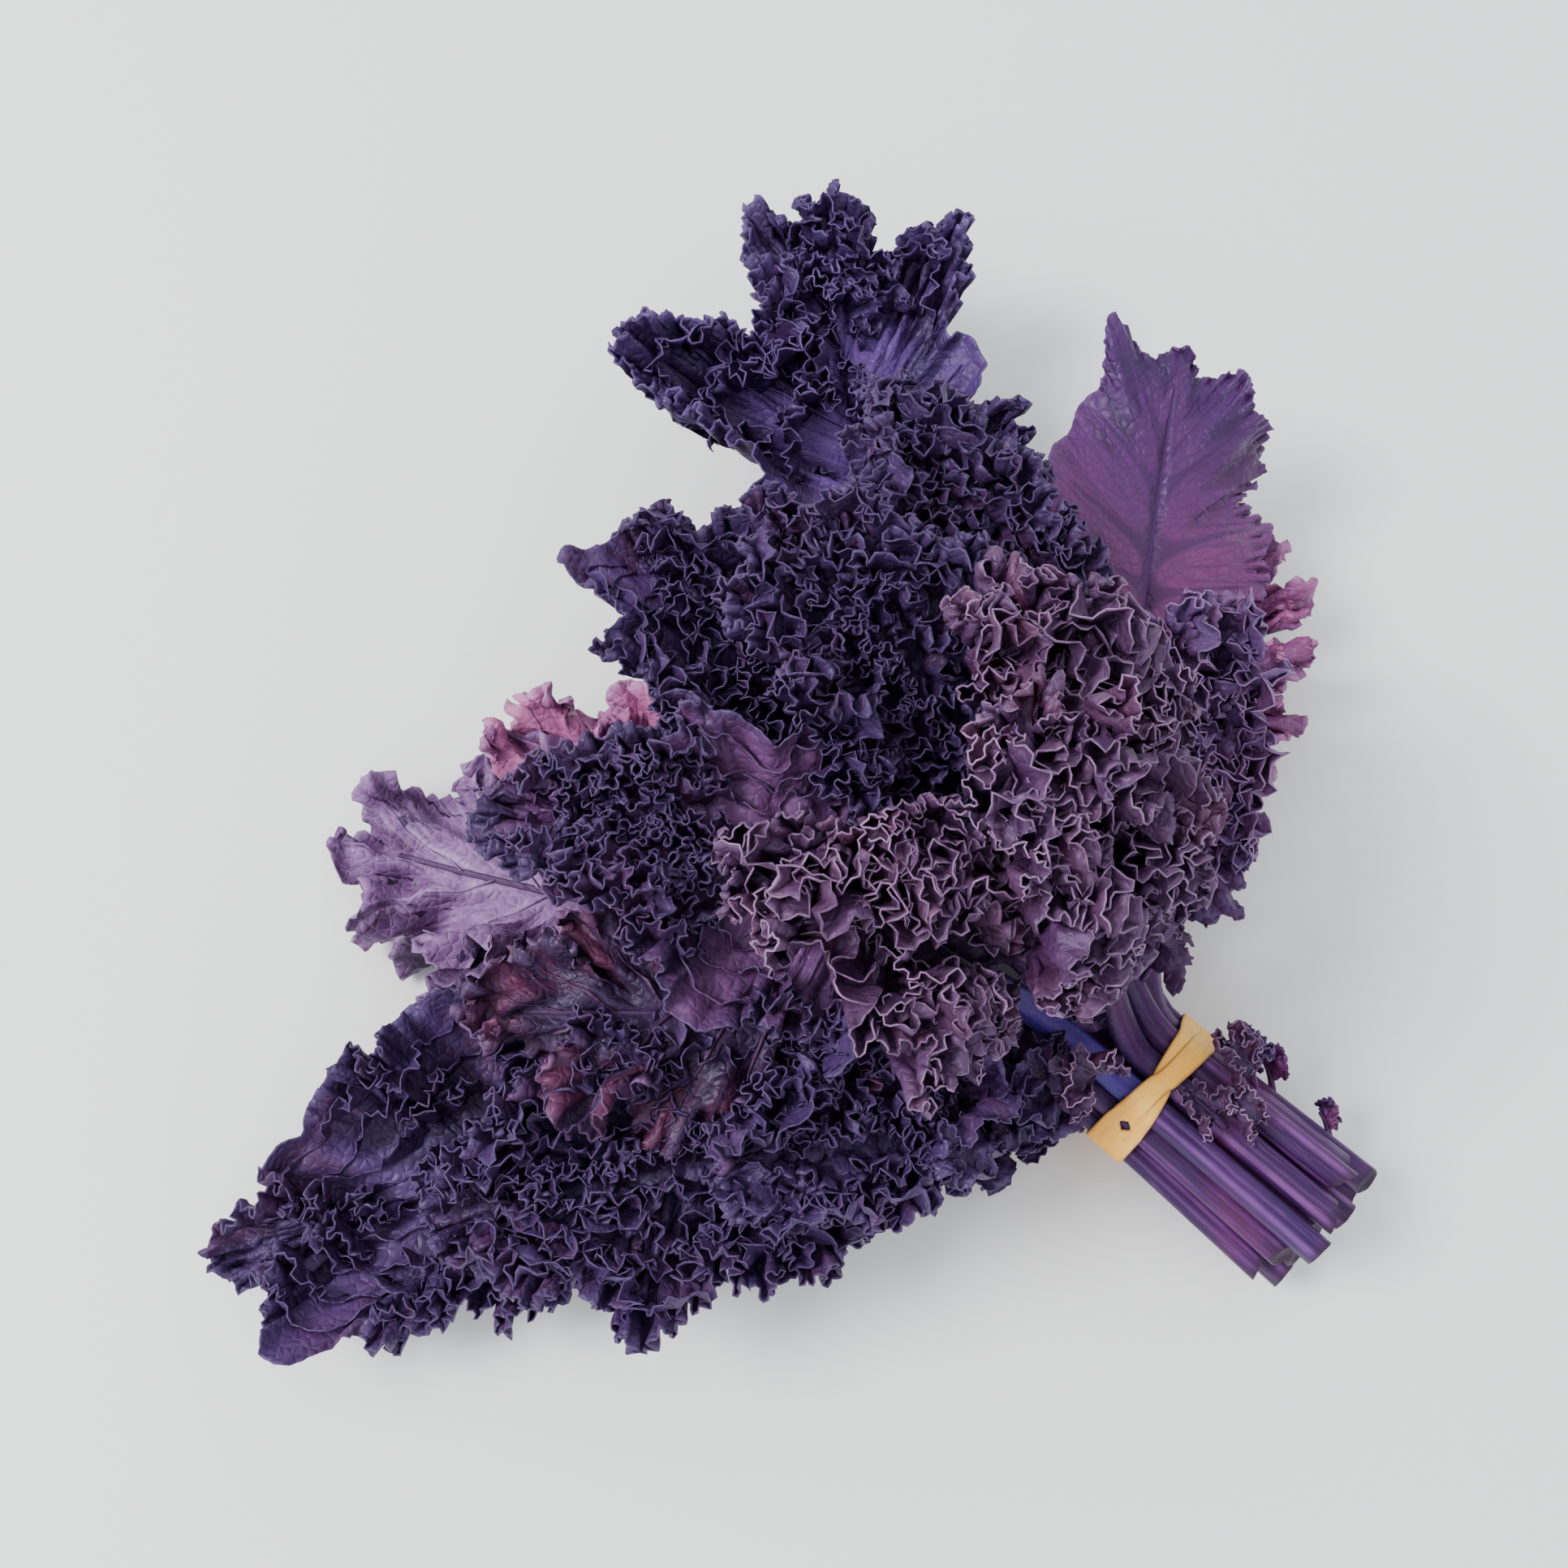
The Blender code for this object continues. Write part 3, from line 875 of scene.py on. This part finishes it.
def from_whole(turns):
    """How far past the nearest whole turn these turns are."""
    return np.mod(turns + 0.5, 1) - 0.5


def blunt(wave, power):
    return np.sign(wave) * np.abs(wave) ** power


def rubber_band(material):
    turns = np.linspace(0, 2, STRIP_RINGS, endpoint=False)
    centres, outs = twice_round(turns)
    past = turns - CROSSING_TURN
    parting = bell(from_whole(past - PARTING_TURN), 0.018)
    over = bell(past - 1, 0.075)
    narrow = bell(from_whole(past), 0.07)
    sway = STRIP_SWAY * blunt(np.cos(np.pi * (past + 0.5)), 0.55) * (1 + PARTING * parting)
    half_width = STRIP_WIDTH / 2 * (1 + 0.06 * np.sin(2 * np.pi * 3 * turns) + 0.1 * (1 - narrow))
    half_width = half_width * (1 - 0.45 * parting)
    tilt = 0.35 * np.sin(2 * np.pi * turns) * (1 - over) + 0.5 * over
    profile = ring_angles(STRIP_SIDES)
    flat, thick = blunt(np.cos(profile), 0.6), blunt(np.sin(profile), 0.6)
    skin = Skin()
    rings = []
    for i in range(STRIP_RINGS):
        centre = centres[i] + ALONG_STEMS * sway[i] + outs[i] * over[i] * 1.25 * STRIP_THICKNESS
        bulge = 0.35 * MM * over[i] * (1 - flat**2)
        lift = thick * STRIP_THICKNESS / 2 + bulge + tilt[i] * 0.4 * MM * flat
        ring = centre + (flat * half_width[i])[:, None] * ALONG_STEMS + lift[:, None] * outs[i]
        rings.append(skin.add(ring, flat, turns[i], over[i]))
    for a, b in zip(rings, rings[1:] + rings[:1]):
        skin.join(a, b)
    piece = skin.object("rubber_band_twisted", material)
    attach(piece, "root")
    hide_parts("rubber_band")


class Nodes:
    """Short calls for building a material's node tree."""

    def __init__(self, name):
        self.material = bpy.data.materials.new(name)
        self.material.use_nodes = True
        self.tree = self.material.node_tree
        self.shader = self.tree.nodes["Principled BSDF"]

    def feed(self, node, inputs):
        """Links or sets a node's inputs, given by name or number."""
        for key, value in inputs.items():
            if isinstance(value, bpy.types.NodeSocket):
                self.tree.links.new(value, node.inputs[key])
            else:
                node.inputs[key].default_value = value

    def node(self, kind, output, inputs, **settings):
        """An output of a new node with these inputs and settings."""
        made = self.tree.nodes.new("ShaderNode" + kind)
        for name, value in settings.items():
            setattr(made, name, value)
        self.feed(made, inputs)
        return made.outputs[output]

    def attribute(self, name):
        return self.node("Attribute", "Fac", {}, attribute_name=name)

    def math(self, operation, a, b=0):
        return self.node("Math", 0, {0: a, 1: b}, operation=operation)

    def plus(self, a, b):
        return self.math("ADD", a, b)

    def times(self, a, b):
        return self.math("MULTIPLY", a, b)

    def ramp(self, value, low, high, to_low=0, to_high=1):
        inputs = {"Value": value, "From Min": low, "From Max": high, "To Min": to_low, "To Max": to_high}
        return self.node("MapRange", "Result", inputs, interpolation_type="SMOOTHSTEP")

    def mix(self, share, a, b):
        return self.node("Mix", 2, {0: share, 6: a, 7: b}, data_type="RGBA")

    def place(self, stretch=(1, 1, 1)):
        own = self.node("TexCoord", "Object", {})
        return self.node("Mapping", "Vector", {"Vector": own, "Scale": stretch})

    def noise(self, scale, detail=3, stretch=(1, 1, 1)):
        inputs = {"Vector": self.place(stretch), "Scale": scale, "Detail": detail}
        return self.node("TexNoise", "Fac", inputs)

    def streaks(self, along, scale):
        inputs = {"W": along, "Scale": scale, "Detail": 3}
        return self.node("TexNoise", "Fac", inputs, noise_dimensions="1D")

    def cells(self, scale):
        inputs = {"Vector": self.place(), "Scale": scale}
        return self.node("TexVoronoi", "Distance", inputs, feature="DISTANCE_TO_EDGE")

    def bump(self, height, distance, strength):
        return self.node("Bump", "Normal", {"Height": height, "Distance": distance, "Strength": strength})

    def surface(self, base, roughness, bump, specular=0.5, tint=(1, 1, 1, 1)):
        """The material, with its shader fed."""
        self.feed(self.shader, {
            "Base Color": base, "Roughness": roughness, "Normal": bump,
            "Specular IOR Level": specular, "Specular Tint": tint,
        })
        return self.material


def colour(red, green, blue):
    """A colour from its linear parts in thousandths."""
    return red / 1000, green / 1000, blue / 1000, 1.0


# For each tint: the middle of the blade, which in the navy tint is darker as painted shade near the
# midrib, the upper side, its flushed patches, which in the violet tint are dark streaks painted as
# the shade of folds, the underside, the veins, the margin, partly a paler edge and partly a painted
# rim highlight, the smooth lobes and the blade's foot, then the row share from which the margin's
# line starts, the one up to which the middle's colour reaches, how far up the leaf the foot's colour
# does, and the kind of stem.
TINTS = {
    "plum": ((54, 24, 74), (37, 10.5, 46), (68, 11, 38), (50, 15.5, 62), (80, 30, 90),
             (280, 155, 300), (55, 18, 60), (45, 16, 70), 0.99, 0.6, 0.3, "violet"),
    "slate": ((78, 33, 125), (74, 32, 118), (120, 30, 100), (78, 33, 125), (80, 40, 120),
              (280, 160, 340), (75, 30, 110), (60, 25, 90), 0.985, 0.6, 0.3, "violet"),
    "navy": ((30, 14, 58), (41, 19.5, 75), (70, 22, 74), (52, 23, 94), (50, 25, 90),
             (60, 34, 100), (75, 32, 135), (26, 12, 50), 0.9, 0.6, 0.3, "violet"),
    "dusk": ((115, 40, 130), (32, 14.5, 56), (100, 30, 100), (45, 19, 76), (130, 60, 160),
             (60, 33, 98), (155, 55, 165), (60, 20, 90), 0.9, 0.9, 0.3, "rose"),
    "violet": ((70, 13, 92), (40, 10, 62), (8, 2.5, 20), (50, 9.5, 84), (30, 6, 50),
               (130, 50, 180), (62, 11.5, 100), (200, 38, 150), 0.95, 0.6, 0.78, "iris"),
    "iris": ((110, 46, 210), (18, 9, 42), (35, 10, 50), (24, 11, 56), (50, 20, 120),
             (100, 55, 180), (85, 34, 160), (130, 50, 240), 0.95, 0.6, 0.5, "iris"),
    "mauve": ((24, 8, 34), (18, 7, 28), (120, 18, 50), (26, 9, 36), (55, 26, 80),
              (130, 60, 160), (90, 30, 110), (100, 18, 50), 0.95, 0.6, 0.4, "rose"),
    "lilac": ((220, 105, 260), (18, 8, 35), (40, 10, 40), (220, 100, 260), (420, 250, 500),
              (280, 150, 330), (220, 100, 260), (160, 70, 210), 0.93, 0.6, 0.3, "rose"),
    "rose": ((140, 30, 130), (120, 24, 105), (220, 35, 130), (480, 140, 310), (500, 220, 420),
             (420, 180, 380), (480, 140, 310), (140, 30, 130), 0.93, 0.6, 0.3, "rose"),
}
RIBBED = "lilac"
VEINED = ("lilac", "mauve", "rose", "iris", "dusk")


def vein_lines(nodes, phase, outward, spacing, fine, wide):
    """Lines that run out where the phase is halfway, fading from this distance off to that."""
    off_centre = nodes.math("ABSOLUTE", nodes.math("SUBTRACT", nodes.math("FRACT", phase), 0.5))
    off = nodes.times(nodes.times(off_centre, outward), spacing)
    return nodes.ramp(off, fine, wide, 1, 0)


def vein_net(nodes, lobe, outward, cells):
    """The main veins up the lobes, the branches beside them and the net between."""
    main = vein_lines(nodes, lobe, outward, LOBE_SPACING, 0.3 * MM, 0.9 * MM)
    main = nodes.times(main, nodes.ramp(outward, 0.7, 0.9, 1, 0))
    forked = nodes.plus(nodes.times(lobe, 3), nodes.times(outward, 0.9))
    branches = vein_lines(nodes, forked, outward, LOBE_SPACING / 3, 0.15 * MM, 0.5 * MM)
    branches = nodes.times(branches, nodes.ramp(outward, 0.15, 0.4, 0, 0.6))
    net = nodes.ramp(cells, 0, 0.1, 0.45, 0)
    return nodes.math("MAXIMUM", main, nodes.math("MAXIMUM", branches, net))


def leaf_material(name):
    *colours, edge_from, heart_to, foot_to, _ = TINTS[name]
    heart_and_painted_shade, face, flush, underside, vein, edge, lobe_colour, foot = (colour(*rgb) for rgb in colours)
    nodes = Nodes("kale_" + name)
    lobe, outward, under, smooth, upward = (nodes.attribute(kind) for kind in Skin.ATTRIBUTES)
    # Flushed patches with radial streaks; in the violet tint their colour is dark, painted as the shade of
    # folds.
    radial = nodes.streaks(nodes.plus(lobe, nodes.times(outward, 0.25)), 2.6)
    flush_and_painted_fold_shade = nodes.ramp(nodes.plus(nodes.noise(38), radial), 0.9, 1.25)
    mottle = nodes.noise(170, 4)
    cells = nodes.cells(300)
    upper = nodes.mix(flush_and_painted_fold_shade, face, flush)
    lower = nodes.mix(nodes.times(flush_and_painted_fold_shade, 0.75), underside, flush)
    # The middle of the blade; in the navy tint it is darker, as painted shade near the midrib.
    tissue = nodes.mix(nodes.ramp(outward, heart_to / 2, heart_to), heart_and_painted_shade, nodes.mix(under, upper, lower))
    lobes = nodes.mix(flush_and_painted_fold_shade, lobe_colour, flush)
    tissue = nodes.mix(nodes.ramp(smooth, 0.35, 0.8, 0, 0.85), tissue, lobes)
    tissue = nodes.mix(nodes.ramp(upward, foot_to / 3, foot_to, 0.9, 0), tissue, foot)
    veins = vein_net(nodes, lobe, outward, cells)
    shown = nodes.times(veins, nodes.plus(nodes.times(under, 0.5), 0.15))
    tissue = nodes.mix(shown, tissue, vein)
    tissue = nodes.mix(nodes.ramp(mottle, 0.35, 0.7, 0.25, 0), tissue, face)
    # Painted highlight: the blade lightens towards its tips, and the margin's line, partly the blade's own
    # paler edge, is a painted rim highlight broken up by noise.
    painted_tip_highlight = nodes.ramp(outward, 0.72, 1, 0, 0.15)
    broken_rim_highlight = nodes.ramp(nodes.noise(75, 2), 0.33, 0.68, 0.2, 1)
    margin = nodes.times(nodes.ramp(outward, edge_from, 1), broken_rim_highlight)
    tissue = nodes.mix(nodes.math("MAXIMUM", painted_tip_highlight, margin), tissue, edge)
    roughness = nodes.ramp(mottle, 0.3, 0.7, 0.42, 0.55)
    puffed = nodes.plus(nodes.ramp(cells, 0, 0.35), nodes.times(veins, -0.8))
    bump = nodes.bump(nodes.plus(puffed, mottle), 0.35 * MM, 0.6)
    return nodes.surface(tissue, roughness, bump, 0.42, colour(750, 720, 1000))


# For each kind of stem: its ground, its lighter streaks and its flush, then the colour it turns to
# beyond the band and the midrib's colour.
STEM_COLOURS = {
    "violet": ((24, 6, 45), (160, 50, 200), (60, 9, 55), (32, 8, 58), (22, 9, 38)),
    "blue": ((22, 6, 50), (140, 50, 210), (45, 9, 70), (30, 17, 220), (18, 9, 40)),
    "rose": ((42, 9, 55), (170, 52, 180), (85, 12, 55), (55, 12, 70), (55, 22, 70)),
    "iris": ((30, 8, 55), (130, 45, 180), (65, 10, 60), (55, 12, 90), (60, 13, 100)),
}
BLUE_STEMS = 10, 17


CUT_EDGE = colour(30, 13, 30)
CUT_FACE = colour(36, 16, 38), colour(20, 8, 26)
BEYOND_BAND = 54 * MM, 68 * MM
MIDRIB_BEGINS = 90 * MM, 150 * MM


def stem_material(name):
    ground, streak, flush, beyond, rib = (colour(*rgb) for rgb in STEM_COLOURS[name])
    nodes = Nodes("kale_stem_" + name)
    streaks, distance, cut = (nodes.attribute(kind) for kind in Skin.ATTRIBUTES[:3])
    fibres = nodes.noise(60, 5, stretch=(16, 1.2, 16))
    mottle = nodes.noise(110, 4)
    bark = nodes.mix(nodes.ramp(nodes.noise(45), 0.45, 0.7), ground, flush)
    light = nodes.times(nodes.ramp(streaks, 0.35, 1), nodes.ramp(mottle, 0.2, 0.7, 0.5, 1))
    bark = nodes.mix(light, bark, streak)
    bark = nodes.mix(nodes.ramp(fibres, 0.5, 0.75, 0, 0.45), bark, streak)
    bark = nodes.mix(nodes.ramp(distance, 0, 3 * MM, 0.7, 0), bark, CUT_EDGE)
    bark = nodes.mix(nodes.ramp(distance, *BEYOND_BAND, 0, 0.65), bark, beyond)
    bark = nodes.mix(nodes.ramp(distance, *MIDRIB_BEGINS, 0, 0.85), bark, rib)
    wood = nodes.mix(nodes.ramp(mottle, 0.3, 0.7), *CUT_FACE)
    roughness = nodes.ramp(mottle, 0.3, 0.7, 0.36, 0.5)
    bump = nodes.bump(nodes.plus(fibres, nodes.times(mottle, 0.4)), 0.4 * MM, 0.7)
    dry = nodes.ramp(cut, 0, 0.5, 0.35, 0.05)
    return nodes.surface(nodes.mix(cut, bark, wood), roughness, bump, dry, colour(850, 700, 1000))


RUBBER = colour(1000, 450, 45), colour(1000, 560, 90)
RUBBER_WRINKLE = colour(620, 240, 45)
# Painted shade on the strip's sides, where they turn away from the light.
RUBBER_SIDE_SHADE = colour(420, 180, 60)


def rubber_material():
    nodes = Nodes("rubber_tan")
    across = nodes.attribute(Skin.ATTRIBUTES[0])
    wrinkles = nodes.noise(170, 4, stretch=(1, 5, 1))
    dust = nodes.noise(700, 2)
    rubber = nodes.mix(nodes.ramp(nodes.noise(55), 0.35, 0.65), *RUBBER)
    rubber = nodes.mix(nodes.ramp(wrinkles, 0.5, 0.75, 0, 0.5), rubber, RUBBER_WRINKLE)
    # Painted shade: the strip darkens towards its sides.
    edge = nodes.ramp(nodes.math("ABSOLUTE", across), 0.7, 1, 0, 0.7)
    rubber = nodes.mix(edge, rubber, RUBBER_SIDE_SHADE)
    bump = nodes.bump(nodes.plus(wrinkles, nodes.times(dust, 0.3)), 0.35 * MM, 0.7)
    return nodes.surface(rubber, nodes.ramp(dust, 0.3, 0.7, 0.45, 0.6), bump)


def plain_floor():
    mesh = bpy.data.meshes.new("floor")
    corners = [(-6, -6, 0), (6, -6, 0), (6, 6, 0), (-6, 6, 0)]
    mesh.from_pydata(corners, [], [(0, 1, 2, 3)])
    nodes = Nodes("floor_pale")
    nodes.feed(nodes.shader, {"Base Color": colour(860, 860, 860), "Roughness": 0.9})
    mesh.materials.append(nodes.material)
    place_object("floor", mesh)


def studio():
    """A pale sky, and one soft light from behind the leaves."""
    world = bpy.data.worlds.new("studio")
    world.use_nodes = True
    background = world.node_tree.nodes["Background"]
    background.inputs["Color"].default_value = colour(930, 960, 1000)
    background.inputs["Strength"].default_value = 1.45
    bpy.context.scene.world = world
    data = bpy.data.lights.new("key", "AREA")
    data.shape, data.size, data.energy = "DISK", 0.9, 50
    light = place_object("key", data)
    light.location = Vector((-0.9, 0.9, 1.6))
    towards_light = light.location - Vector((0, 0, 0.05))
    light.rotation_euler = towards_light.to_track_quat("Z", "Y").to_euler()


# The camera, turned and raised round the band by these angles. The band lies right of the middle
# of the view, and below it.
CAMERA_AZIMUTH = -48
CAMERA_ELEVATION = 70
CAMERA_LENS = 38
CAMERA_TO_BAND = 0.489
BAND_RIGHT = 0.109
BAND_BELOW = 0.0897


def camera():
    back = Vector(slope_direction(180 - CAMERA_AZIMUTH, CAMERA_ELEVATION))
    right = Vector(slope_direction(90 - CAMERA_AZIMUTH, 0))
    up = back.cross(right)
    data = bpy.data.cameras.new("camera")
    data.lens = CAMERA_LENS
    made = place_object("camera", data)
    made.location = Vector(BAND_CENTRE) + back * CAMERA_TO_BAND - right * BAND_RIGHT + up * BAND_BELOW
    made.rotation_euler = back.to_track_quat("Z", "Y").to_euler()
    bpy.context.scene.camera = made


def main():
    camera()
    studio()
    plain_floor()
    blades = {name: leaf_material(name) for name in TINTS}
    stems = {name: stem_material(name) for name in STEM_COLOURS}
    for number in COURSES:
        leaf = leaf_facts(number)
        kind = "blue" if number in BLUE_STEMS else TINTS[leaf.tint][-1]
        leaf_piece(leaf, blades[leaf.tint], stems[kind])
    rubber_band(rubber_material())


main()
